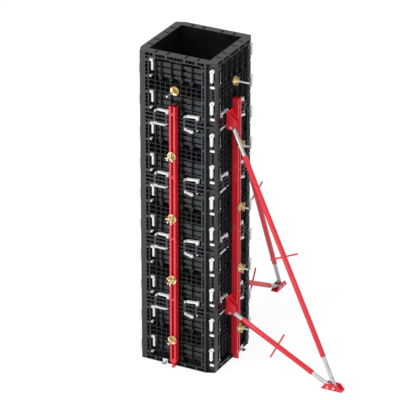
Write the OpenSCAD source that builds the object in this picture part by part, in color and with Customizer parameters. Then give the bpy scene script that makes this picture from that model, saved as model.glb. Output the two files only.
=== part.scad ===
// Square concrete column form: ribbed plastic panels on four sides, quarter-turn handles, tie rods,
// upright walers and push-pull props. Lengths are in millimetres and +Z is up. The origin is on the
// floor at the column's axis. Side modules are drawn for the front side, which faces -Y, and are
// turned about the axis for the others. Prop modules are drawn for the right side, which faces +X.

/* [Panel] */
// Inner width of the column, and the width of one panel's flat field
inner_w = 600; // [580:10:700]
// Height of one panel
panel_h = 600; // [580:10:660]
// Depth of a panel from its casting face to its outer face
panel_t = 80; // [76:1:100]
// Thickness of the casting skin
skin_t = 8; // [5:1:12]
// Thickness of the ribs between cells
rib_t = 3; // [2:0.5:5]
// Pitch of the cells across the panel
cell_pitch = 50.5; // [47:0.5:54]
// Pitch of the cells along the panel's four edges
edge_pitch = 37.5; // [32:0.5:42]
// Width of the double wall around each panel
wall_w = 42; // [40:1:50]
// Thickness of the outer lip of the double wall
lip_t = 6; // [4:1:8]
// Thickness of the inner rib of the double wall
inner_rib_t = 9; // [6:1:12]
// Depth of the small ribs' front edges
recess_d = 27; // [20:1:32]
// Depth of the plate behind the small ribs
plate_in = 40; // [36:1:50]
// Pitch of the small ribs
row_h = 56; // [50:1:60]
// Height of the slot in the plate under each small rib
slot_h = 16; // [12:1:20]
// Height of the deep band below the lowest small rib
band_h = 84; // [78:1:86]
// Height of the plate at the top of that band
band_plate_h = 40; // [30:1:44]
// Height of one row of deep cells at mid height
deep_h = 39; // [36:1:42]
// Width of the handle channel along the left edge
channel_w = 63; // [58:1:66]
// Thickness of the solid rib along the right edge
side_rib_t = 11; // [8:1:14]
// Height of the ridge along the flange's free edge
ridge_h = 5; // [3:1:6]
// Thickness of that ridge
ridge_t = 5; // [3:1:6]

/* [Handles] */
// Distance of each handle's axis from the panel's outer face
handle_in = 28; // [26:1:32]
// Distance of the inner handles from the panel's middle
handle_near = 90; // [80:1:100]
// Distance of the outer handles from the panel's middle
handle_far = 206; // [200:1:206]
// Diameter of the handle's shaft
shaft_d = 20; // [16:1:24]
// Diameter of the handle's end ring
hub_d = 36; // [32:1:38]
// Height of the end ring above its seat
hub_h = 34; // [28:1:34]
// Diameter of the hole in the end ring
hub_hole_d = 16; // [12:1:20]
// Length of the lever arm from its shaft
arm_l = 100; // [80:1:108]
// Width of the lever arm
arm_w = 24; // [18:1:28]
// Thickness of the lever arm
arm_t = 18; // [12:1:22]
// Length of the cam lug
cam_l = 45; // [34:1:48]
// Width of the cam lug
cam_w = 20; // [14:1:24]
// Thickness of the cam lug
cam_t = 16; // [10:1:17]
// Outward turn of the upper handles' arms at the joints
turn_high = 12; // [0:1:20]
// Outward turn of the lower handles' arms at the joints
turn_low = 24; // [0:1:30]
// Clearance around each handle's shaft
handle_gap = 0.3; // [0.1:0.1:0.6]

/* [Ties] */
// Height of the lower tie holes above a panel's bottom edge
tie_low_z = 288; // [284:1:290]
// Height of the upper tie holes above a panel's bottom edge
tie_high_z = 318; // [316:1:322]
// Diameter of the tie rods
tie_d = 15; // [12:1:16]
// Diameter of the tie holes in the panels
tie_hole_d = 20; // [18:1:24]
// Length of rod past the panel's outer face
tie_out = 150; // [130:5:180]
// Diameter of the wing nut's plate
plate_d = 84; // [76:2:110]
// Thickness of the wing nut's plate
plate_t = 10; // [6:1:14]
// Diameter at the foot of the nut's cone
cone_d = 58; // [50:1:70]
// Diameter of the nut's neck
neck_d = 36; // [30:1:44]
// Height of the nut's cone
cone_h = 22; // [16:1:28]
// Height of the nut's neck
neck_h = 14; // [10:1:20]
// Reach of each wing from the rod's axis
wing_l = 44; // [38:1:48]
// Thickness of the wings
wing_t = 11; // [8:1:14]
// Clearance between nut and rod
nut_gap = 0.3; // [0.1:0.1:0.5]

/* [Walers] */
// Height of the waler's foot above the floor
waler_z = 55; // [40:5:80]
// Length of a waler
waler_l = 2505; // [2400:5:2700]
// Depth of a waler
waler_t = 57; // [50:1:70]
// Width of one rail
rail_w = 20; // [18:1:30]
// Width of the slot between the rails
slot_w = 20; // [18:1:24]
// Wall thickness of the rails
rail_wall = 3; // [2:0.5:4]
// Height of each cross piece between the rails
spacer_h = 18; // [12:1:40]
// Height of the cross pieces above each joint
spacer_z = 84; // [70:1:110]
// Length of the tongue inside the slot
tongue_l = 90; // [80:5:120]

/* [Props] */
// Distance of the prop's plane from the waler's middle
prop_side = 122; // [110:1:150]
// Height of the long prop's head pin
head_high_z = 2340; // [2200:10:2420]
// Height of the short prop's head pin
head_low_z = 532; // [450:2:620]
// Distance of the head pins from the panel's outer face
head_out = 50; // [44:1:60]
// Distance of the short prop's foot pin from the panel's outer face
foot_low_out = 1024; // [900:2:1100]
// Distance between the two foot pins of a shoe
foot_pitch = 61; // [56:1:80]
// Height of the foot pins
foot_z = 28; // [27:1:36]
// Length of the long prop's tube
tube_high_l = 1945; // [1700:5:2100]
// Length of the short prop's tube
tube_low_l = 790; // [650:5:830]
// Bare spindle above the long prop's tube
bare_high = 285; // [200:5:320]
// Bare spindle above the short prop's tube
bare_low = 120; // [80:5:160]
// Outer diameter of the tubes
tube_d = 48; // [44:1:60]
// Wall thickness of the tubes
tube_wall = 3; // [2:0.5:4]
// Diameter of the spindles
spindle_d = 36; // [30:1:38]
// Length of spindle held in the tube
spindle_in = 70; // [50:5:100]
// Radial clearance between spindle and tube nut
spindle_gap = 0.05; // [0.02:0.01:0.1]
// Length of each tube nut
tube_nut_l = 40; // [30:1:50]
// Length of the turning bar
bar_l = 288; // [240:4:320]
// Diameter of the turning bar
bar_d = 16; // [12:1:20]
// Diameter of the spindle's end eye
eye_d = 40; // [36:1:42]
// Diameter of the pins
pin_d = 16; // [12:1:18]
// Clearance around the pins
pin_gap = 0.3; // [0.1:0.1:0.5]
// Play between an eye and each cheek
eye_play = 1; // [0.5:0.25:2]

/* [Brackets] */
// Clear width between two cheeks
cheek_gap = 54; // [50:1:60]
// Thickness of plates in the head brackets and shoes
cheek_t = 6; // [5:1:8]
// Reach of a head bracket from the panel's outer face
head_reach = 100; // [90:1:120]
// Height of a head bracket above its pin
head_rise = 136; // [110:1:160]
// Depth of a head bracket below its pin
head_drop = 24; // [22:1:30]
// Gap between a head bracket's back and the panel
head_back = 4; // [2:1:8]
// Length of a base shoe
shoe_l = 200; // [180:2:260]
// Height of a base shoe
shoe_h = 58; // [52:1:70]
// Height of the shoe's cheeks at their ends
shoe_end_h = 10; // [8:1:16]
// Length of the slope at each end of a cheek
shoe_slope = 40; // [30:1:60]
// Diameter of the shoe's anchor hole
anchor_d = 18; // [12:1:20]
// Distance of the anchor hole from the shoe's outer end
anchor_in = 18; // [14:1:24]
// Width of a slab bracket
slab_w = 50; // [40:1:60]
// Height of a slab bracket
slab_h = 45; // [36:1:60]
// Reach of a slab bracket
slab_out = 40; // [34:1:60]
// Thickness of a slab bracket
slab_t = 5; // [4:1:8]
// Place of the front slab bracket along its panel
slab_front_x = -105; // [-160:1:-60]
// Place of the right slab bracket along its panel
slab_right_x = 165; // [100:1:220]
// Diameter of the slab bolts
slab_bolt_d = 12; // [8:1:16]

/* [Hidden] */
$fn = 48;
lifts = 5;
cut = 1;
min_cell = 8;
sides = ["front", "right", "back", "left"];
corners = ["front_right", "back_right", "back_left", "front_left"];

half = inner_w / 2;
face = half + panel_t;
handle_y = face - handle_in;
handle_xs = [-handle_far, -handle_near, handle_near, handle_far];
handle_zs = [for (k = [0 : 3]) panel_h * (2 * k + 1) / 8];
deep_d = panel_t - skin_t;
field_x0 = -half + wall_w + channel_w + rib_t / 2;
field_x1 = half - wall_w;
last_rib = field_x1 + rib_t / 2;
edge_x0 = -half + lip_t;
edge_x1 = -half + wall_w - inner_rib_t;
side_x0 = half - wall_w + side_rib_t;
side_x1 = half - lip_t - inner_rib_t;
strip_x1 = handle_y + cam_w / 2;
strip_x0 = handle_y - cam_w / 2;
bay_x0 = handle_near - hub_d / 2 - 8;
bay_x1 = handle_far + hub_d / 2 + 8;
bay_low_h = hub_h + 24;
bay_high_h = hub_h + 2;
bay_d = handle_in + hub_d / 2 + 7;
boss_r = shaft_d / 2 + handle_gap + 2;
waler_face = face + waler_t;
waler_w = 2 * rail_w + slot_w;
cheek_y = cheek_gap / 2 + cheek_t;
head_x = face + head_out;
foot_low_x = face + foot_low_out;
foot_high_x = foot_low_x + foot_pitch;
shoe_x = (foot_low_x + foot_high_x) / 2 + 7;
pin_r = pin_d / 2;

// ---- panels ----

// Cells between ribs that stand midway between multiples of the pitch, clipped to lo and hi.
function cells(lo, hi, pitch, start = 0) = [
    for (k = [floor((lo - start) / pitch) : ceil((hi - start) / pitch)])
        let (a = max(lo, start + (k - 0.5) * pitch + rib_t / 2))
        let (b = min(hi, start + (k + 0.5) * pitch - rib_t / 2))
        if (b - a > min_cell) [a, b]
];

// Rows between ribs at every pitch from z upward, the last one clipped to top.
function rows(z, top, pitch) = [
    for (a = [z + rib_t / 2 : pitch : top - min_cell]) [a, min(a + pitch - rib_t, top)]
];

// Cells that divide the span from lo to hi evenly, with a margin kept at each end.
function divided(lo, hi, margin_lo, margin_hi) =
    let (n = max(1, round((hi - lo) / edge_pitch)))
    let (step = (hi - lo) / n)
    [for (k = [0 : n - 1]) [
        lo + k * step + (k == 0 ? margin_lo : rib_t / 2),
        lo + (k + 1) * step - (k == n - 1 ? margin_hi : rib_t / 2)
    ]];

// Cells along an edge from lo to hi, clear of the bores of the handles on it.
function edge_cells(lo, hi, handles) =
    let (stops = concat(lo, handles, hi))
    let (last = len(stops) - 2)
    [for (k = [0 : last])
        each divided(stops[k], stops[k + 1], k == 0 ? 0 : boss_r, k == last ? 0 : boss_r)];

// A box cut into the panel's outer face.
module pocket(xs, zs, depth) {
    translate([xs[0], -face - cut, zs[0]])
        cube([xs[1] - xs[0], depth + cut, zs[1] - zs[0]]);
}

// Outline of a lip in plan: the field, and the flange that closes the corner.
module panel_outline() {
    polygon([
        [-half, -half], [-half, -face], [half + rib_t, -face], [face, -half - wall_w - ridge_h], [face, -half]
    ]);
}

// The cells of the middle field, with the handle channel beside them. Each half of the panel has
// a deep band, rows of plates behind small ribs above it, and a row of deep cells at mid height.
module field_cuts() {
    middle = panel_h / 2;
    deep_top = deep_h + 3 * rib_t / 2;
    halves = [[wall_w, wall_w, middle - deep_top], [middle + deep_top, middle + wall_w, panel_h - wall_w]];
    for (part = halves, xs = cells(field_x0, field_x1, 2 * cell_pitch, last_rib + cell_pitch)) {
        rib_z = part[1] + band_h;
        band_top = rib_z - rib_t / 2;
        pocket(xs, [part[0], part[2]], recess_d);
        pocket(xs, [part[0], band_top], plate_in);
        pocket(xs, [part[0], band_top - band_plate_h], deep_d);
        pocket(xs, [band_top - slot_h, band_top], deep_d);
        for (zs = rows(rib_z, part[2], row_h)) {
            pocket(xs, zs, plate_in);
            if (zs[1] - zs[0] > 2 * slot_h) pocket(xs, [zs[1] - slot_h, zs[1]], deep_d);
        }
    }
    for (xs = cells(field_x0, field_x1, cell_pitch, last_rib + cell_pitch / 2))
        for (z = [middle - deep_h - rib_t / 2, middle + rib_t / 2]) pocket(xs, [z, z + deep_h], deep_d);
    channel = [-half + wall_w, field_x0 - rib_t];
    stops = [wall_w, middle - deep_h, middle, middle + deep_h + 2 * rib_t, panel_h - wall_w];
    for (k = [0 : len(stops) - 2]) pocket(channel, [stops[k], stops[k + 1] - rib_t], deep_d);
}

// The small cells of the double walls, divided between the handles.
module edge_cuts() {
    cell_z0 = lip_t;
    cell_z1 = wall_w - inner_rib_t;
    for (xs = edge_cells(edge_x0, side_x1, handle_xs)) {
        pocket(xs, [cell_z0, cell_z1], deep_d);
        pocket(xs, [panel_h - cell_z1, panel_h - cell_z0], deep_d);
    }
    for (zs = edge_cells(wall_w, panel_h - wall_w, handle_zs)) {
        pocket([edge_x0, edge_x1], zs, deep_d);
        pocket([side_x0, side_x1], zs, deep_d);
        pocket([strip_x0, strip_x1], zs, deep_d);
    }
}

// The bays beside each horizontal joint, where the handles turn.
module bay_cuts() {
    for (xs = [[-bay_x1, -bay_x0], [bay_x0, bay_x1]]) {
        pocket(xs, [wall_w, wall_w + bay_low_h], bay_d);
        pocket(xs, [panel_h - wall_w - bay_high_h, panel_h - wall_w], bay_d);
    }
}

// The recess of the corner flange, between its lips and its free edge.
module strip_cut() {
    translate([half + rib_t, -face - cut, lip_t])
        cube([face - ridge_t - half - rib_t, panel_t - wall_w + cut, panel_h - 2 * lip_t]);
}

// Holes for the handle shafts through all four edges, and for the tie rods.
module panel_bores() {
    bore_r = shaft_d / 2 + handle_gap;
    for (x = handle_xs, z = [-cut, panel_h - wall_w - cut])
        translate([x, -handle_y, z]) cylinder(r = bore_r, h = wall_w + 2 * cut);
    for (z = handle_zs) {
        translate([-half - cut, -handle_y, z]) rotate([0, 90, 0]) cylinder(r = bore_r, h = wall_w + 2 * cut);
        translate([handle_y, -half + cut, z]) rotate([90, 0, 0]) cylinder(r = bore_r, h = wall_w + 2 * cut);
    }
    for (z = [tie_low_z, tie_high_z])
        translate([0, -half + cut, z]) rotate([90, 0, 0]) cylinder(d = tie_hole_d, h = panel_t + 2 * cut);
}

module panel() {
    color([0.13, 0.14, 0.16])
        difference() {
            linear_extrude(panel_h) panel_outline();
            field_cuts();
            edge_cuts();
            bay_cuts();
            strip_cut();
            panel_bores();
        }
}

// ---- handles ----

// A handle on the Z axis. It clamps the two walls that meet at z = 0, and its arm points along +X.
module handle() {
    arm_z = wall_w + hub_h - arm_t;
    color("white")
        difference() {
            union() {
                translate([0, 0, -wall_w]) cylinder(d = shaft_d, h = 2 * wall_w);
                translate([0, 0, wall_w]) cylinder(d = hub_d, h = hub_h);
                translate([0, 0, arm_z]) linear_extrude(arm_t) bar_shape(0, arm_l - arm_w / 2, arm_w);
                translate([0, 0, -wall_w - cam_t]) rotate(90) linear_extrude(cam_t)
                    bar_shape(-(cam_l - cam_w) / 2, (cam_l - cam_w) / 2, cam_w);
            }
            translate([0, 0, wall_w + hub_h / 3]) cylinder(d = hub_hole_d, h = hub_h);
        }
}

// A flat bar with round ends, from x0 to x1.
module bar_shape(x0, x1, w) {
    translate([x0, -w / 2]) square([x1 - x0, w]);
    for (x = [x0, x1]) translate([x, 0]) circle(d = w);
}

// A corner handle whose end ring is on the flange, and one whose ring is in the next panel's channel.
module flange_handle(turn) {
    translate([handle_y, -half, 0]) rotate([90, 0, 0]) rotate(turn) handle();
}
module channel_handle(turn) {
    translate([handle_y, -half, 0]) rotate([-90, 0, 0]) rotate(-turn) handle();
}

// One corner's handles. Every second one hangs, and the others are raised clear of the joints.
module corner_handles(hanging_on_flange) {
    for (lift = [0 : lifts - 1], k = [0 : 3]) {
        hangs = k % 2 == 1;
        turn = hangs ? -90 : 90;
        translate([0, 0, lift * panel_h + handle_zs[k]])
            if (hangs == hanging_on_flange) flange_handle(turn);
            else channel_handle(turn);
    }
}

// One side's handles at the horizontal joints, with end rings above and below in turn.
module joint_handles() {
    for (joint = [1 : lifts - 1]) translate([0, -handle_y, joint * panel_h]) {
        translate([-handle_near, 0, 0]) rotate(180) handle();
        translate([handle_far, 0, 0]) rotate(180 + turn_high) handle();
        translate([-handle_far, 0, 0]) rotate([180, 0, 0]) handle();
        translate([handle_near, 0, 0]) rotate([180, 0, 0]) rotate(turn_low) handle();
    }
}

// ---- ties ----

module tie_rods(height) {
    color([0.79, 0.66, 0.44])
        for (lift = [0 : lifts - 1])
            translate([0, face + tie_out, lift * panel_h + height])
                rotate([90, 0, 0]) cylinder(d = tie_d, h = 2 * (face + tie_out));
}

// A wing nut on the Z axis, seated at z = 0.
module tie_nut() {
    difference() {
        union() {
            cylinder(d = plate_d, h = plate_t);
            translate([0, 0, plate_t]) cylinder(d1 = cone_d, d2 = neck_d, h = cone_h);
            translate([0, 0, plate_t + cone_h]) cylinder(d = neck_d, h = neck_h);
            for (a = [0 : 120 : 240]) rotate(a)
                translate([neck_d / 4, -wing_t / 2, plate_t + cone_h / 2])
                    cube([wing_l - neck_d / 4, wing_t, cone_h / 2 + neck_h]);
        }
        translate([0, 0, -cut]) cylinder(r = tie_d / 2 + nut_gap, h = plate_t + cone_h + neck_h + 2 * cut);
    }
}

// The nuts of one side: on the waler up to its top, and on the bare panel above it.
module tie_nuts(height) {
    color([0.79, 0.66, 0.44])
        for (lift = [0 : lifts - 1]) let (z = lift * panel_h + height)
            translate([0, z - plate_d / 2 < waler_z + waler_l ? -waler_face : -face, z])
                rotate([90, 0, 0]) rotate(lift * 25) tie_nut();
}

// ---- walers ----

module waler() {
    top_z = waler_z + waler_l;
    color([0.81, 0.13, 0.19]) {
        for (x = [-waler_w / 2, slot_w / 2])
            translate([x, -waler_face, waler_z])
                difference() {
                    cube([rail_w, waler_t, waler_l]);
                    translate([rail_wall, rail_wall, -cut])
                        cube([rail_w - 2 * rail_wall, waler_t - 2 * rail_wall, waler_l + 2 * cut]);
                }
        for (lift = [1 : lifts]) let (z = lift * panel_h + spacer_z - spacer_h / 2)
            if (z + spacer_h < top_z)
                translate([-slot_w / 2, -waler_face, z]) cube([slot_w, waler_t, spacer_h]);
        translate([-slot_w / 2, -waler_face, 0]) cube([slot_w, waler_t, tongue_l]);
    }
}

// ---- props ----

// Places children in the prop's plane at a height, with +Z along the line from p to q.
module along(p, q) {
    translate([p[0], -prop_side, p[1]]) rotate([0, atan2(q[0] - p[0], q[1] - p[1]), 0]) children();
}

// An upright plate in the prop's plane, from an outline in x and z.
module cheek(y, outline) {
    translate([0, y + cheek_t / 2, 0]) rotate([90, 0, 0]) linear_extrude(cheek_t) polygon(outline);
}

// A hole or pin across the prop's plane.
module across(x, z, r, width) {
    translate([x, -prop_side + width / 2, z]) rotate([90, 0, 0]) cylinder(r = r, h = width);
}

// A screw spindle with its eye on the pin at p, reaching towards q.
module spindle(p, q, length) {
    color([0.78, 0.78, 0.8])
        along(p, q)
            difference() {
                union() {
                    cylinder(d = spindle_d, h = length);
                    rotate([90, 0, 0])
                        cylinder(d = eye_d, h = cheek_gap - 2 * eye_play, center = true);
                }
                rotate([90, 0, 0]) cylinder(r = pin_r + pin_gap, h = cheek_gap + 2 * cut, center = true);
            }
}

// A tube from start to start + length on the line from p to q, with a nut in each end and its bar.
module prop_tube(p, q, start, length) {
    nut_r = spindle_d / 2 + spindle_gap;
    color([0.81, 0.13, 0.19])
        along(p, q) translate([0, 0, start]) {
            difference() {
                cylinder(d = tube_d, h = length);
                translate([0, 0, -cut]) cylinder(r = nut_r, h = length + 2 * cut);
                translate([0, 0, tube_nut_l])
                    cylinder(r = tube_d / 2 - tube_wall, h = length - 2 * tube_nut_l);
            }
            translate([-bar_l / 2, 0, length / 2]) rotate([0, 90, 0]) cylinder(d = bar_d, h = bar_l);
        }
}

// The bracket on the waler's side that holds a prop's head.
module prop_head(pin_z) {
    back_x = face + head_back;
    top_z = pin_z + head_rise;
    low_z = pin_z - head_drop;
    outline = [
        [back_x, low_z], [face + head_reach * 2 / 3, low_z], [face + head_reach, pin_z + head_drop / 2],
        [face + head_reach, pin_z + head_rise / 2], [back_x, top_z]
    ];
    color([0.81, 0.13, 0.19])
        difference() {
            union() {
                for (side = [-1, 1]) cheek(-prop_side + side * (cheek_gap + cheek_t) / 2, outline);
                translate([back_x, -prop_side - cheek_y, low_z])
                    cube([cheek_t, prop_side + cheek_y - waler_w / 2, top_z - low_z]);
                translate([back_x, -waler_w / 2 - cheek_t, low_z])
                    cube([waler_face - back_x, cheek_t, top_z - low_z]);
            }
            across(head_x, pin_z, pin_r + pin_gap, 2 * cheek_y + 2 * cut);
        }
}

// The shoe that both foot pins of a pair share.
module base_shoe() {
    low_x = shoe_x - shoe_l / 2;
    high_x = shoe_x + shoe_l / 2;
    outline = [
        [low_x, 0], [high_x, 0], [high_x, shoe_end_h], [high_x - shoe_slope, shoe_h],
        [low_x + shoe_slope, shoe_h], [low_x, shoe_end_h]
    ];
    color([0.81, 0.13, 0.19])
        difference() {
            union() {
                translate([low_x, -prop_side - cheek_y, 0]) cube([shoe_l, 2 * cheek_y, cheek_t]);
                for (side = [-1, 1]) cheek(-prop_side + side * (cheek_gap + cheek_t) / 2, outline);
            }
            for (x = [foot_low_x, foot_high_x]) across(x, foot_z, pin_r + pin_gap, 2 * cheek_y + 2 * cut);
            translate([high_x - anchor_in, -prop_side, -cut]) cylinder(d = anchor_d, h = cheek_t + 2 * cut);
        }
}

// A bolt across two cheeks, with its nut as a second solid.
module pin_bolt(x, z) {
    head_h = pin_d * 0.6;
    length = 2 * cheek_y;
    color([0.7, 0.7, 0.72])
        translate([x, -prop_side - cheek_y, z]) rotate([-90, 0, 0]) {
            cylinder(r = pin_r, h = length + head_h + pin_gap);
            translate([0, 0, -head_h]) cylinder(d = pin_d * 1.7, h = head_h, $fn = 6);
            translate([0, 0, length])
                difference() {
                    cylinder(d = pin_d * 1.7, h = head_h, $fn = 6);
                    translate([0, 0, -cut]) cylinder(r = pin_r + pin_gap / 2, h = head_h + 2 * cut);
                }
        }
}

// ---- slab brackets ----

module slab_bracket(x) {
    color([0.8, 0.81, 0.83])
        translate([x - slab_w / 2, -face, 0])
            difference() {
                union() {
                    translate([0, -slab_t, 0]) cube([slab_w, slab_t, slab_h]);
                    translate([0, -slab_out, 0]) cube([slab_w, slab_out, slab_t]);
                }
                translate([slab_w / 2, -(slab_out + slab_t) / 2, -cut])
                    cylinder(d = slab_bolt_d + 2 * pin_gap, h = slab_t + 2 * cut);
            }
}

module slab_bolt(x) {
    color([0.7, 0.7, 0.72])
        translate([x, -face - (slab_out + slab_t) / 2, 0]) {
            cylinder(d = slab_bolt_d, h = slab_t);
            translate([0, 0, slab_t]) cylinder(d = slab_bolt_d * 1.7, h = slab_bolt_d * 0.6, $fn = 6);
        }
}

// ---- one node at a time ----

head_high = [head_x, head_high_z];
head_low = [head_x, head_low_z];
foot_high = [foot_high_x, foot_z];
foot_low = [foot_low_x, foot_z];
long_l = norm(foot_high - head_high);
short_l = norm(foot_low - head_low);
long_foot_l = long_l - bare_high - tube_high_l + spindle_in;
short_foot_l = short_l - bare_low - tube_low_l + spindle_in;

for (s = [0 : 3]) rotate(s * 90) {
    for (lift = [1 : lifts])
        translate([0, 0, (lift - 1) * panel_h]) panel();
    waler();
    tie_nuts(s % 2 == 0 ? tie_low_z : tie_high_z);
    corner_handles(s != 3);
    joint_handles();
}
tie_rods(tie_low_z);  // tie_rods_front_back
rotate(90) tie_rods(tie_high_z);  // tie_rods_left_right

pairs = ["right", "back"];
for (p = [0, 1]) rotate(p * 90) {
    prop_head(head_high_z);
    prop_head(head_low_z);
    spindle(head_high, foot_high, bare_high + spindle_in);
    spindle(head_low, foot_low, bare_low + spindle_in);
    prop_tube(head_high, foot_high, bare_high, tube_high_l);
    prop_tube(head_low, foot_low, bare_low, tube_low_l);
    spindle(foot_high, head_high, long_foot_l);
    spindle(foot_low, head_low, short_foot_l);
    base_shoe();
}
for (a = [0, 90], z = [head_low_z, head_high_z]) rotate(a) pin_bolt(head_x, z);  // head_pins
for (a = [0, 90], x = [foot_low_x, foot_high_x]) rotate(a) pin_bolt(x, foot_z);  // foot_pins
union() {  // slab_brackets
    slab_bracket(slab_front_x);
    rotate(90) slab_bracket(slab_right_x);
}
union() {  // slab_bolts
    slab_bolt(slab_front_x);
    rotate(90) slab_bolt(slab_right_x);
}
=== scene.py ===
"""Looks of a square concrete column form: ribbed panels, nylon handles, ties, walers and props."""
import math

import bmesh
import bpy
from mathutils import Matrix, Vector


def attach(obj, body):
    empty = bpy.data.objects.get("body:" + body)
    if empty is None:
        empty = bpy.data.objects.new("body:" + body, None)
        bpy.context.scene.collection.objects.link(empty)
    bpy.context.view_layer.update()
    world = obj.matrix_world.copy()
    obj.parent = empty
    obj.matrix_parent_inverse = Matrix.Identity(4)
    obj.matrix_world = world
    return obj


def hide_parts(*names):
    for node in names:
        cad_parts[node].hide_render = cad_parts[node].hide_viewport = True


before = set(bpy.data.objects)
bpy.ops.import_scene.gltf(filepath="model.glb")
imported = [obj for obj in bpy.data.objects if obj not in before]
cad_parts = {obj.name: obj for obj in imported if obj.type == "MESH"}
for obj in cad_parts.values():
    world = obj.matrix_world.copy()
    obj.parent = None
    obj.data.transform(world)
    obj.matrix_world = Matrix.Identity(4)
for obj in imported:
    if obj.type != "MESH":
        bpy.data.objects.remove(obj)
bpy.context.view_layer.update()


# ---- Camera ----
# A long lens looks down on the front and right sides of the form from far off, so that its
# upright edges stay almost parallel.
def bearing(azimuth, elevation):
    """The way out to a bearing and a height in degrees. Bearing 0 is in front, and 90 on the right."""
    a, e = math.radians(azimuth), math.radians(elevation)
    return Vector((math.sin(a) * math.cos(e), -math.cos(a) * math.cos(e), math.sin(e)))


azimuth, elevation, distance = 27.904, 25.207, 28.935
aim_aside, aim_up, middle_height = 0.03866, -0.0130, 1.5
view_back = bearing(azimuth, elevation)
view_right = Vector((math.cos(math.radians(azimuth)), math.sin(math.radians(azimuth)), 0))
view_up = view_back.cross(view_right)
aim = Vector((0, 0, middle_height)) + aim_aside * view_right + aim_up * view_up
camera = bpy.data.objects.new("camera", bpy.data.cameras.new("camera"))
bpy.context.collection.objects.link(camera)
camera.data.lens = 292.8
camera.data.clip_end = 200
camera.location = aim + distance * view_back
camera.rotation_euler = Matrix((view_right, view_up, view_back)).transposed().to_euler()
bpy.context.scene.camera = camera


# ---- Studio ----
# A pale studio floor under a soft bright sky, with one broad lamp high in front. For mirroring rays
# only, the floor glows as a painted reflection, brighter in front of the form than behind it.
def linear(hex_code):
    """An sRGB hex colour as linear red, green, blue and alpha."""
    channels = [int(hex_code[i:i + 2], 16) / 255 for i in (1, 3, 5)]
    return [c / 12.92 if c <= 0.04045 else ((c + 0.055) / 1.055) ** 2.4 for c in channels] + [1]


def add_node(tree, kind, settings=None, links=None):
    """Adds a shader node. Settings are its properties or sockets, and links join outputs to its sockets."""
    node = tree.nodes.new(kind)
    for name, value in (settings or {}).items():
        if isinstance(name, str) and name.islower() and hasattr(node, name):
            setattr(node, name, value)
        else:
            node.inputs[name].default_value = value
    for name, output in (links or {}).items():
        tree.links.new(output, node.inputs[name])
    return node


def new_material(name):
    """An empty node material and its tree."""
    material = bpy.data.materials.new(name)
    material.use_nodes = True
    material.node_tree.nodes.clear()
    return material, material.node_tree


# A matt paper floor, mostly replaced by plain white where the camera sees it.
floor_material, tree = new_material("studio_floor")
rays = add_node(tree, "ShaderNodeLightPath")
paper = add_node(tree, "ShaderNodeBsdfDiffuse", {"Color": linear("#f4f4f4")})
glow = add_node(tree, "ShaderNodeEmission", {"Color": linear("#ffffff"), "Strength": 1.05})
share = add_node(tree, "ShaderNodeMath", {"operation": "MULTIPLY", 1: 0.85},
                 {0: rays.outputs["Is Camera Ray"]})
seen = add_node(tree, "ShaderNodeMixShader", {},
                {0: share.outputs[0], 1: paper.outputs[0], 2: glow.outputs[0]})

# Painted reflection: polished faces see the floor glow, though no lamp is there, brightening from 1 m
# behind the form's middle to 3 m in front of it.
place = add_node(tree, "ShaderNodeTexCoord").outputs["Object"]
ahead = add_node(tree, "ShaderNodeVectorMath", {"operation": "DOT_PRODUCT", 1: (-0.45, -0.9, 0)},
                 {0: place})
floor_reflection_strength = add_node(tree, "ShaderNodeMapRange",
                      {"From Min": -1.0, "From Max": 3.0, "To Min": 0.65, "To Max": 2.4},
                      {"Value": ahead.outputs["Value"]})
floor_painted_reflection = add_node(tree, "ShaderNodeEmission", {"Color": linear("#ffffff")},
                 {"Strength": floor_reflection_strength.outputs["Result"]})
floor_with_painted_reflection = add_node(tree, "ShaderNodeMixShader", {},
               {0: rays.outputs["Is Glossy Ray"], 1: seen.outputs[0], 2: floor_painted_reflection.outputs[0]})
add_node(tree, "ShaderNodeOutputMaterial", {}, {"Surface": floor_with_painted_reflection.outputs[0]})

half_floor = 60
floor_corners = [(x * half_floor, y * half_floor, 0) for x, y in ((-1, -1), (1, -1), (1, 1), (-1, 1))]
floor_mesh = bpy.data.meshes.new("studio_floor")
floor_mesh.from_pydata(floor_corners, [], [(0, 1, 2, 3)])
floor = bpy.data.objects.new("studio_floor", floor_mesh)
bpy.context.collection.objects.link(floor)
floor_mesh.materials.append(floor_material)
floor.location.z = -0.0005

world = bpy.data.worlds.new("studio")
bpy.context.scene.world = world
world.use_nodes = True
tree = world.node_tree
tree.nodes.clear()
rays = add_node(tree, "ShaderNodeLightPath")
sky = add_node(tree, "ShaderNodeBackground", {"Color": linear("#fbfcff"), "Strength": 0.80})
white = add_node(tree, "ShaderNodeBackground", {"Color": linear("#ffffff"), "Strength": 1.0})
both = add_node(tree, "ShaderNodeMixShader", {},
                {0: rays.outputs["Is Camera Ray"], 1: sky.outputs[0], 2: white.outputs[0]})
add_node(tree, "ShaderNodeOutputWorld", {}, {"Surface": both.outputs[0]})


def add_sun(name, azimuth, elevation, strength, softness):
    """A broad lamp that shines from a bearing and a height, and looks that many degrees wide."""
    lamp = bpy.data.objects.new(name, bpy.data.lights.new(name, "SUN"))
    bpy.context.collection.objects.link(lamp)
    lamp.data.energy = strength
    lamp.data.angle = math.radians(softness)
    lamp.rotation_euler = bearing(azimuth, elevation).to_track_quat("Z", "Y").to_euler()


add_sun("key_lamp", -20, 50, 1.1, 25)
bpy.context.scene.view_settings.view_transform = "Standard"


# ---- Panels ----
# Each panel is one injection moulding of black ABS, ribbed like an egg crate behind its casting
# skin, with bores along its edges for the handles. The mould leaves a satin face.
mm = 0.001


def position(tree):
    """The place of a shading point on its object, in metres."""
    return add_node(tree, "ShaderNodeTexCoord").outputs["Object"]


def noise(tree, size, detail=2.0):
    """A soft random pattern with patches of about that size in metres."""
    return add_node(tree, "ShaderNodeTexNoise", {"Scale": 1 / size, "Detail": detail},
                    {"Vector": position(tree)}).outputs["Fac"]


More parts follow.
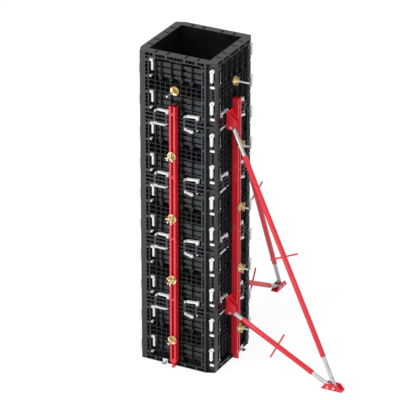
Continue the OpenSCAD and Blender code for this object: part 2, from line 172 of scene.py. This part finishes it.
def ramp(tree, source, stops):
    """Colours along a pattern: stops are (place, hex)."""
    node = add_node(tree, "ShaderNodeValToRGB", {}, {"Fac": source})
    band = node.color_ramp
    while len(band.elements) < len(stops):
        band.elements.new(0.5)
    for element, (place, hex_code) in zip(band.elements, stops):
        element.position = place
        element.color = linear(hex_code)
    return node.outputs["Color"]


def span(tree, source, low, high):
    """A pattern stretched to run from low to high."""
    reach = {"From Min": 0.3, "From Max": 0.7, "To Min": low, "To Max": high}
    return add_node(tree, "ShaderNodeMapRange", reach, {"Value": source}).outputs["Result"]


def bumped(tree, source, depth):
    """A bump of that depth in metres."""
    settings = {"Distance": depth, "Strength": 1.0}
    return add_node(tree, "ShaderNodeBump", settings, {"Height": source}).outputs["Normal"]


def finish_material(tree, settings, links):
    """The principled surface and the output."""
    surface = add_node(tree, "ShaderNodeBsdfPrincipled", settings, links)
    add_node(tree, "ShaderNodeOutputMaterial", {}, {"Surface": surface.outputs[0]})


# Black ABS is dark grey under light, with a satin gloss that varies in patches. The mould's grain is
# drawn at 1.6 mm, coarser than it is, so that it shows.
moulded_abs, tree = new_material("moulded_black_abs")
patches = noise(tree, 180 * mm, 4)
grain = noise(tree, 1.6 * mm, 2)
finish_material(tree, {"IOR": 1.53, "Specular IOR Level": 0.32}, {
    "Base Color": ramp(tree, patches, [(0.3, "#202224"), (0.7, "#272a2d")]),
    "Roughness": span(tree, patches, 0.30, 0.38),
    "Normal": bumped(tree, grain, 0.03 * mm),
})

# Painted shade: the casting face inside the column is coloured near black, darker than the rest of the ABS,
# for the shade deep inside the form. Its tone and gloss vary in patches.
painted_shade_abs, tree = new_material("casting_face_painted_shade")
dark_patches = noise(tree, 90 * mm, 4)
finish_material(tree, {"IOR": 1.53}, {
    "Base Color": ramp(tree, dark_patches, [(0.3, "#0b0b0c"), (0.7, "#121213")]),
    "Roughness": span(tree, dark_patches, 0.30, 0.45),
})

# Across the form: the panel's half width from the column's middle, then its outer face.
panel_width, panel_height, panel_depth, skin = 600 * mm, 600 * mm, 80 * mm, 8 * mm
half_width = panel_width / 2
outer_face = half_width + panel_depth
# Across a panel's edge: a lip, small cells and an inner rib make up its wall, and the handles stand in it.
wall, lip, inner_rib, rib, side_rib, channel = 42 * mm, 6 * mm, 9 * mm, 3 * mm, 11 * mm, 63 * mm
full_depth = panel_depth - skin
handle_line = outer_face - 28 * mm
handle_xs = [-206 * mm, -90 * mm, 90 * mm, 206 * mm]
handle_zs = [panel_height * k / 8 for k in (1, 3, 5, 7)]
tie_zs = [288 * mm, 318 * mm]
# The ribs of the field count from the last one, beside the right-hand wall.
middle, top = panel_height / 2, panel_height - wall
pitch, cells_left, cells_right = 50.5 * mm, -half_width + wall + channel + rib / 2, half_width - wall
last_rib = cells_right + rib / 2
past = 1 * mm  # how far a cutter reaches beyond what it cuts


def add_box(shape, xs, ys, zs):
    """Adds a box between two places on each axis."""
    middle = Vector([(a + b) / 2 for a, b in (xs, ys, zs)])
    sizes = [abs(b - a) for a, b in (xs, ys, zs)]
    bmesh.ops.create_cube(shape, size=1, matrix=Matrix.Translation(middle) @ Matrix.Diagonal((*sizes, 1)))


def add_rod(shape, start, end, radius, sides=24):
    """Adds a round rod between two points."""
    run = end - start
    place = Matrix.Translation((start + end) / 2) @ run.to_track_quat("Z", "Y").to_matrix().to_4x4()
    bmesh.ops.create_cone(shape, cap_ends=True, segments=sides, radius1=radius, radius2=radius,
                          depth=run.length, matrix=place)


def pocket(shape, xs, zs, depth):
    """Adds a box that cuts into the outer face."""
    add_box(shape, xs, (-outer_face - 5 * mm, -outer_face + depth), zs)


def cells(low, high, pitch, start=0):
    """Cells between ribs that stand midway between multiples of the pitch."""
    found, narrowest = [], 8 * mm
    for k in range(math.floor((low - start) / pitch), math.ceil((high - start) / pitch) + 1):
        a = max(low, start + (k - 0.5) * pitch + rib / 2)
        b = min(high, start + (k + 0.5) * pitch - rib / 2)
        if b - a > narrowest:
            found.append((a, b))
    return found


def edge_cells(low, high, handles):
    """Cells that divide each span between handles evenly, clear of the handles' bores."""
    found, edge_pitch, beside_bore = [], 37.5 * mm, 12.3 * mm
    stops = [low, *handles, high]
    for k, (a, b) in enumerate(zip(stops, stops[1:])):
        count = round((b - a) / edge_pitch)
        step = (b - a) / count
        for j in range(count):
            first = (0 if k == 0 else beside_bore) if j == 0 else rib / 2
            last = (0 if k == len(handles) else beside_bore) if j == count - 1 else rib / 2
            found.append((a + j * step + first, a + (j + 1) * step - last))
    return found


def make_object(name, shape):
    mesh = bpy.data.meshes.new(name)
    shape.to_mesh(mesh)
    shape.free()
    made = bpy.data.objects.new(name, mesh)
    bpy.context.collection.objects.link(made)
    return made


def apply_modifiers(made):
    """Makes the modifiers' result the object's own mesh."""
    graph = bpy.context.evaluated_depsgraph_get()
    result = bpy.data.meshes.new_from_object(made.evaluated_get(graph))
    made.modifiers.clear()
    made.data = result


def cut(made, cutters, operation="DIFFERENCE"):
    """Cuts each set of shapes out of a solid, or joins them to it, one set after another."""
    for k, shape in enumerate(cutters):
        tool = make_object(f"cutter_{k}", shape)
        step = made.modifiers.new(f"cut_{k}", "BOOLEAN")
        step.object = tool
        step.solver = "EXACT"
        step.operation = operation
        apply_modifiers(made)
        bpy.data.objects.remove(tool)


def panel_body():
    """The panel's block in plan, with the slightly rounded flange that closes the corner."""
    plan = [(-half_width, -half_width), (-half_width, -outer_face), (half_width + rib, -outer_face)]
    steps, end_wall = 6, 5 * mm
    for k in range(1, steps + 1):
        t = k / steps
        x = half_width + rib + (panel_depth - rib) * t
        y = -outer_face + (panel_depth - wall - end_wall) * (t + 0.25 * t * (1 - t))
        plan.append((x, y))
    plan.append((outer_face, -half_width))
    shape = bmesh.new()
    face = shape.faces.new([shape.verts.new((x, y, 0)) for x, y in plan])
    risen = bmesh.ops.extrude_face_region(shape, geom=[face])["geom"]
    top_points = [part for part in risen if isinstance(part, bmesh.types.BMVert)]
    bmesh.ops.translate(shape, vec=(0, 0, panel_height), verts=top_points)
    bmesh.ops.recalc_face_normals(shape, faces=shape.faces)
    return make_object("panel", shape)


def add_oval(shape, x, z, width, height, ys):
    """Adds an upright oval rod that runs straight back."""
    radius, sides = width / 2, 16
    ring = []
    for a in [2 * math.pi * k / sides for k in range(sides)]:
        half_straight = (height - width) / 2 * (1 if math.sin(a) > 0 else -1)
        ring.append((x + radius * math.cos(a), z + half_straight + radius * math.sin(a)))
    front = [shape.verts.new((u, ys[0], v)) for u, v in ring]
    back = [shape.verts.new((u, ys[1], v)) for u, v in ring]
    made = [shape.faces.new(front), shape.faces.new(back[::-1])]
    for k in range(sides):
        made.append(shape.faces.new((front[k - 1], back[k - 1], back[k], front[k])))
    bmesh.ops.recalc_face_normals(shape, faces=made)


def field_cutters(recesses, plates, voids, slots):
    """Two-cell recesses, and in them small cells down to a plate, its slots and the hollow behind it."""
    recess_depth, deep_row, row, to_first_rib, bottom_slot = 27 * mm, 39 * mm, 56 * mm, 126 * mm, 42 * mm
    plate_depth, plate, slot, slot_drop, void_height = 30 * mm, 4 * mm, 15 * mm, 2 * mm, 38 * mm
    lower_field = (wall, to_first_rib, middle - deep_row - 1.5 * rib)
    upper_field = (middle + deep_row + 1.5 * rib, middle + to_first_rib, top)
    for low, first_rib, high in (lower_field, upper_field):
        for xs in cells(cells_left, cells_right, 2 * pitch, last_rib + pitch):
            pocket(recesses, xs, (low, high), recess_depth)
            pocket(slots, xs, (low, first_rib - bottom_slot), full_depth)
        for xs in cells(cells_left, cells_right, pitch, last_rib + pitch / 2):
            slot_xs = (xs[0] + 1 * mm, xs[1] - 1 * mm)
            pocket(plates, xs, (low, first_rib - rib / 2), plate_depth)
            for k in range(3):
                rib_z = first_rib + k * row
                slot_top = rib_z - slot_drop
                pocket(plates, xs, (rib_z + rib / 2, min(rib_z + row - rib / 2, high)), plate_depth)
                pocket(slots, slot_xs, (slot_top - slot, slot_top), plate_depth + plate + past)
                add_box(voids, xs, (-outer_face + plate_depth + plate, -outer_face + full_depth),
                        (rib_z - void_height, rib_z - rib / 2))
    for xs in cells(cells_left, cells_right, pitch, last_rib + pitch / 2):
        for z in (middle - deep_row - rib / 2, middle + rib / 2):
            pocket(recesses, xs, (z, z + deep_row), full_depth)
    stops = [wall, middle - deep_row, middle, middle + deep_row + 2 * rib, top]
    for low, high in zip(stops, stops[1:]):
        pocket(recesses, (-half_width + wall, cells_left - rib), (low, high - rib), full_depth)


def edge_cutters(recesses, slots, bays):
    """Small cells along all four edges, four bays for joint handles, and the corner flange's hollow."""
    for xs in edge_cells(-half_width + lip, half_width - lip - inner_rib, handle_xs):
        pocket(recesses, xs, (lip, wall - inner_rib), full_depth)
        pocket(recesses, xs, (panel_height - wall + inner_rib, panel_height - lip), full_depth)
    for zs in edge_cells(wall, top, handle_zs):
        pocket(recesses, (-half_width + lip, -half_width + wall - inner_rib), zs, full_depth)
        pocket(recesses, (half_width - wall + side_rib, half_width - lip - inner_rib), zs, full_depth)
        pocket(slots, (handle_line - 10 * mm, handle_line + 10 * mm), zs, full_depth)
    bay_depth, end_wall = 53 * mm, 5 * mm
    for xs in ((-232 * mm, -64 * mm), (64 * mm, 232 * mm)):
        for zs in ((wall, 100 * mm), (top - 36 * mm, top)):
            pocket(bays, xs, zs, bay_depth)
    add_box(bays, (half_width + rib, outer_face - end_wall), (-outer_face - 5 * mm, -half_width - wall),
            (lip, panel_height - lip))


def boss_shapes(bosses, slits):
    """Oval bosses where the cells' ribs cross, broad and narrow by rows, and the slit down each one."""
    lowest, spacing, broad, narrow = 86 * mm, 150 * mm, 26 * mm, 15 * mm
    for k in range(4):
        for j in range(4):
            x, z = last_rib - 2 * (j + 1) * pitch, lowest + k * spacing
            if 0 < k < 3 or j in (1, 2):
                width = broad if k % 2 == 0 else narrow
                add_oval(bosses, x, z, width, 40 * mm, (-outer_face + 1 * mm, -half_width - skin / 2))
                add_oval(slits, x, z, 10 * mm, 30 * mm, (-outer_face - past, -half_width - skin))


def hole_cutters(slits, bores):
    """Bores for the handles' shafts and the ties, and the slots that the joint handles' lugs go in by."""
    shaft_hole, tie_hole, half_slot, slot_end = 10.3 * mm, 10 * mm, 9.5 * mm, -308 * mm
    for x in handle_xs:
        for z in (0, panel_height):
            low, high = z - wall - past, z + wall + past
            add_rod(bores, Vector((x, -handle_line, low)), Vector((x, -handle_line, high)), shaft_hole)
            add_box(slits, (x - half_slot, x + half_slot), (-handle_line, slot_end), (low, high))
    for z in handle_zs:
        near, far = -half_width - past, -half_width + wall + past
        add_rod(bores, Vector((near, -handle_line, z)), Vector((far, -handle_line, z)), shaft_hole)
        near, far = -half_width - wall - past, -half_width + past
        add_rod(bores, Vector((handle_line, near, z)), Vector((handle_line, far, z)), shaft_hole)
    for z in tie_zs:
        add_rod(bores, Vector((0, -outer_face - past, z)), Vector((0, -half_width + past, z)), tie_hole)


def bevel_edges(made, width, segments, sharper_than):
    """Rounds the edges that are sharper than an angle in degrees. Flat faces stay flat to the light."""
    edge = made.modifiers.new("edge", "BEVEL")
    edge.width = width
    edge.segments = segments
    edge.limit_method = "ANGLE"
    edge.angle_limit = math.radians(sharper_than)
    edge.harden_normals = True


def panel_mesh():
    """One panel for the front side, standing on the floor."""
    recesses, plates, voids, slots, bays, bosses, slits, bores = [bmesh.new() for _ in range(8)]
    field_cutters(recesses, plates, voids, slots)
    edge_cutters(recesses, slots, bays)
    boss_shapes(bosses, slits)
    hole_cutters(slits, bores)
    panel = panel_body()
    cut(panel, [recesses, plates, voids, slots, bays])
    cut(panel, [bosses], "UNION")
    cut(panel, [slits, bores])
    bevel_edges(panel, 0.9 * mm, 1, 40)
    apply_modifiers(panel)
    return panel


panel = panel_mesh()
panel.data.materials.append(moulded_abs)
panel.data.materials.append(painted_shade_abs)
# The faces of the casting skin that look into the column take the painted shade.
for face in panel.data.polygons:
    if face.center.y > -half_width - 1 * mm and face.normal.y > 0.5:
        face.material_index = 1
sides = ("front", "right", "back", "left")
side_turns = {side: Matrix.Rotation(k * math.pi / 2, 4, "Z") for k, side in enumerate(sides)}
for side, turned in side_turns.items():
    for lift in range(5):
        piece = bpy.data.objects.new(f"ribbed_panel_{side}_{lift + 1}", panel.data)
        bpy.context.collection.objects.link(piece)
        piece.matrix_world = turned @ Matrix.Translation((0, 0, lift * panel_height))
        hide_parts(f"panel_{side}_{lift + 1}")
        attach(piece, "form")
bpy.data.objects.remove(panel)


# ---- Handles ----
# The quarter-turn handles are moulded in white nylon: a shaft through both walls, an end ring
# with its lever arm, and a cam lug that draws the joint shut.
def finish_nodes(words, material, width, segments=2):
    """Gives a material and softened edges to the CAD nodes whose names hold one of the words."""
    for name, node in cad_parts.items():
        if any(word in name for word in words):
            node.data.materials.clear()
            node.data.materials.append(material)
            weld = node.modifiers.new("weld", "WELD")
            weld.merge_threshold = 0.01 * mm
            flat = node.modifiers.new("flat", "DECIMATE")
            flat.decimate_type = "DISSOLVE"
            flat.angle_limit = math.radians(0.5)
            bevel_edges(node, width, segments, 35)


# Light passes a little way into white nylon, so it looks softer than the ABS beside it.
moulded_nylon, tree = new_material("moulded_white_nylon")
patches = noise(tree, 60 * mm, 3)
finish_material(tree, {"IOR": 1.53, "Subsurface Weight": 0.12, "Subsurface Radius": (0.004, 0.004, 0.004),
                       "Subsurface Scale": 1.0}, {
    "Base Color": ramp(tree, patches, [(0.3, "#eceeed"), (0.7, "#f7f8f7")]),
    "Roughness": span(tree, patches, 0.33, 0.42),
})
finish_nodes(["_handles_"], moulded_nylon, 2 * mm, 1)


# ---- Ties ----
# The tie rods are hot-rolled steel bars with a coarse thread, galvanised bright. The wing nuts are
# ductile iron castings on a round plate, zinc plated and passivated, which gives a pale yellow sheen.
def thread(tree, start, end, lead):
    """The height of a screw thread around the line from start to end, which climbs its lead each turn."""
    along = (end - start).normalized()
    side = along.orthogonal().normalized()
    place = add_node(tree, "ShaderNodeVectorMath", {"operation": "SUBTRACT", 1: start}, {0: position(tree)})
    reaches = []
    for axis in (along, side, along.cross(side)):
        reach = add_node(tree, "ShaderNodeVectorMath", {"operation": "DOT_PRODUCT", 1: axis},
                         {0: place.outputs[0]})
        reaches.append(reach.outputs["Value"])
    angle = add_node(tree, "ShaderNodeMath", {"operation": "ARCTAN2"}, {0: reaches[1], 1: reaches[2]})
    turns = add_node(tree, "ShaderNodeMath", {"operation": "DIVIDE", 1: 2 * math.pi}, {0: angle.outputs[0]})
    climb = add_node(tree, "ShaderNodeMath", {"operation": "MULTIPLY_ADD", 1: 1 / lead},
                     {0: reaches[0], 2: turns.outputs[0]})
    height = add_node(tree, "ShaderNodeMath", {"operation": "PINGPONG", 1: 0.5}, {0: climb.outputs[0]})
    return height.outputs[0]


# Zinc has grown dull in patches. The bar's coarse thread climbs 10 mm a turn.
for run, height, axis in (("front_back", tie_zs[0], (0, 1, 0)), ("left_right", tie_zs[1], (1, 0, 0))):
    threaded_bar, tree = new_material(f"galvanised_threaded_bar_{run}")
    start = Vector((0, 0, height))
    finish_material(tree, {"Metallic": 1.0}, {
        "Base Color": ramp(tree, noise(tree, 18 * mm, 4), [(0.3, "#c9c6cf"), (0.7, "#e2e0e6")]),
        "Roughness": span(tree, noise(tree, 12 * mm, 3), 0.34, 0.48),
        "Normal": bumped(tree, thread(tree, start, start + Vector(axis), 10 * mm), 1.6 * mm),
    })
    finish_nodes([f"tie_rods_{run}"], threaded_bar, 1.5 * mm)

# Yellow passivation runs from straw to ochre. The casting's fine pores are drawn at 1.2 mm to show.
yellow_zinc, tree = new_material("yellow_passivated_zinc")
patches = noise(tree, 25 * mm, 4)
pores = noise(tree, 1.2 * mm, 2)
finish_material(tree, {"Metallic": 1.0}, {
    "Base Color": ramp(tree, patches, [(0.3, "#c9a66c"), (0.55, "#e6cd9c"), (0.7, "#c4a064")]),
    "Roughness": span(tree, patches, 0.34, 0.5),
    "Normal": bumped(tree, pores, 0.15 * mm),
})
finish_nodes(["tie_nuts_"], yellow_zinc, 1.5 * mm)


# ---- Walers ----
# Each waler is a pair of rectangular steel tubes welded to spacer plates, so that the ties pass
# between them. It is sprayed with red enamel, which dries glossy with a faint orange peel.
red_enamel, tree = new_material("red_enamel_on_steel")
patches = noise(tree, 120 * mm, 4)
orange_peel = noise(tree, 3 * mm, 2)
finish_material(tree, {"IOR": 1.5, "Coat Weight": 0.2, "Coat Roughness": 0.12}, {
    "Base Color": ramp(tree, patches, [(0.3, "#df1a2c"), (0.7, "#ea2537")]),
    "Roughness": span(tree, patches, 0.28, 0.38),
    "Normal": bumped(tree, orange_peel, 0.03 * mm),
})
finish_nodes(["waler_"], red_enamel, 1.5 * mm)


# ---- Props ----
# The push-pull props are steel turnbuckles: red enamelled tubes with a bar to turn them, on
# galvanised spindles with a rolled thread and a bored eye. Heads and shoes are welded plate.
head_x, foot_z, prop_line = 430 * mm, 28 * mm, -122 * mm
prop_ends = {
    "long": ((head_x, 2340 * mm), (1465 * mm, foot_z)),
    "short": ((head_x, 532 * mm), (1404 * mm, foot_z)),
}
pair_turns = {"right": Matrix.Identity(4), "back": Matrix.Rotation(math.pi / 2, 4, "Z")}

# The rolled thread climbs 7 mm a turn, and catches the light in fine bands.
for pair, turned in pair_turns.items():
    for kind, (head, foot) in prop_ends.items():
        start, end = [turned @ Vector((x, prop_line, z)) for x, z in (head, foot)]
        screw, tree = new_material(f"galvanised_screw_{kind}_{pair}")
        finish_material(tree, {"Metallic": 1.0}, {
            "Base Color": ramp(tree, noise(tree, 30 * mm, 4), [(0.3, "#bdbfc4"), (0.7, "#dadbde")]),
            "Roughness": span(tree, noise(tree, 14 * mm, 3), 0.32, 0.46),
            "Normal": bumped(tree, thread(tree, start, end, 7 * mm), 1.4 * mm),
        })
        spindles = [f"{kind}_prop_{place}_spindle_{pair}" for place in ("upper", "lower")]
        finish_nodes(spindles, screw, 1.2 * mm)

# Hot-dip zinc freezes in bright spangles about 9 mm across.
galvanised, tree = new_material("galvanised_steel")
spangles = add_node(tree, "ShaderNodeTexVoronoi", {"Scale": 1 / (9 * mm)}, {"Vector": position(tree)})
spangle = spangles.outputs["Color"]
finish_material(tree, {"Metallic": 1.0}, {
    "Base Color": ramp(tree, spangle, [(0.2, "#cfd1d4"), (0.8, "#e6e7e9")]),
    "Roughness": span(tree, spangle, 0.34, 0.46),
})

# Bolts are oil-blackened, and stay dark and a little rough.
blackened, tree = new_material("blackened_bolt_steel")
finish_material(tree, {"Metallic": 1.0}, {
    "Base Color": ramp(tree, noise(tree, 6 * mm, 3), [(0.3, "#3a3a3c"), (0.7, "#565659")]),
    "Roughness": span(tree, noise(tree, 4 * mm, 3), 0.35, 0.5),
})
finish_nodes(["_prop_head_", "_prop_tube_", "base_shoe_"], red_enamel, 1.2 * mm)
finish_nodes(["head_pins", "foot_pins", "slab_brackets"], galvanised, 1 * mm)
finish_nodes(["slab_bolts"], blackened, 1 * mm)


# ---- Welds ----
# The cross pieces, cheeks, turning bars and shoes are joined by short fillet welds, laid by
# hand as rows of overlapping beads and enamelled over with the rest.
ball = bmesh.new()
bmesh.ops.create_uvsphere(ball, u_segments=8, v_segments=5, radius=0.5)
ball_points = [v.co.copy() for v in ball.verts]
ball_faces = [[v.index for v in face.verts] for face in ball.faces]
ball.free()
bead = 4 * mm


def add_bead(beads, points):
    """Adds the places of overlapping weld beads along a run of points."""
    for start, end in zip(points, points[1:]):
        run = end - start
        count = max(1, round(run.length / (0.55 * bead)))
        aim = run.to_track_quat("Z", "Y").to_matrix().to_4x4()
        shape = Matrix.Diagonal((bead, bead, 0.7 * bead, 1))
        for k in range(count + 1):
            beads.append(Matrix.Translation(start + run * (k / count)) @ aim @ shape)


def add_weld(name, beads, turned, body):
    """Makes the beads one piece that rides on a body."""
    points = [turned @ place @ co for place in beads for co in ball_points]
    faces = [[k * len(ball_points) + j for j in face] for k in range(len(beads)) for face in ball_faces]
    mesh = bpy.data.meshes.new(name)
    mesh.from_pydata(points, [], faces)
    mesh.shade_smooth()
    mesh.materials.append(red_enamel)
    weld = bpy.data.objects.new(name, mesh)
    bpy.context.collection.objects.link(weld)
    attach(weld, body)


# A waler's cross pieces stand near its foot and just above each joint between lifts.
seam_y, half_seam = -outer_face - 57 * mm + 0.8 * mm, 10 * mm
seams = [(55 * mm, 90 * mm)]
seams += [(lift * panel_height + 75 * mm, lift * panel_height + 93 * mm) for lift in range(1, 5)]
for side, turned in side_turns.items():
    beads = []
    for low, high in seams:
        for x in (-half_seam, half_seam):
            add_bead(beads, [Vector((x, seam_y, low)), Vector((x, seam_y, high))])
    add_weld(f"waler_welds_{side}", beads, turned, "form")

cheek, outer_cheek, head_back = 27 * mm, 33 * mm, 390 * mm
bar_radius, tube_radius = 8.5 * mm, 24 * mm
tube_runs = {"long": (285 * mm, 1945 * mm), "short": (120 * mm, 790 * mm)}
sideways = Vector((0, 1, 0))
for pair, turned in pair_turns.items():
    for kind, (head, foot) in prop_ends.items():
        beads = []
        low, high = head[1] - 20 * mm, head[1] + 100 * mm
        for y in (prop_line - cheek, prop_line + cheek, prop_line + outer_cheek):
            add_bead(beads, [Vector((head_back, y, low)), Vector((head_back, y, high))])
        add_weld(f"{kind}_head_welds_{pair}", beads, turned, "form")

        beads = []
        start, end = [Vector((x, prop_line, z)) for x, z in (head, foot)]
        along = (end - start).normalized()
        across = sideways.cross(along)
        bare, length = tube_runs[kind]
        for offset in (tube_radius, -tube_radius):
            centre = start + along * (bare + length / 2) + across * offset
            angles = [math.pi * k / 8 for k in range(17)]
            ring = [centre + bar_radius * (along * math.cos(a) + sideways * math.sin(a)) for a in angles]
            add_bead(beads, ring)
        add_weld(f"{kind}_bar_welds_{pair}", beads, turned, f"{kind}_tube_{pair}")

    beads = []
    shoe_top, shoe_start, shoe_end = 6 * mm, 1351.5 * mm, 1531.5 * mm
    for y in (prop_line - cheek, prop_line + cheek):
        add_bead(beads, [Vector((x, y, shoe_top)) for x in (shoe_start, shoe_end)])
    add_weld(f"shoe_welds_{pair}", beads, turned, "form")
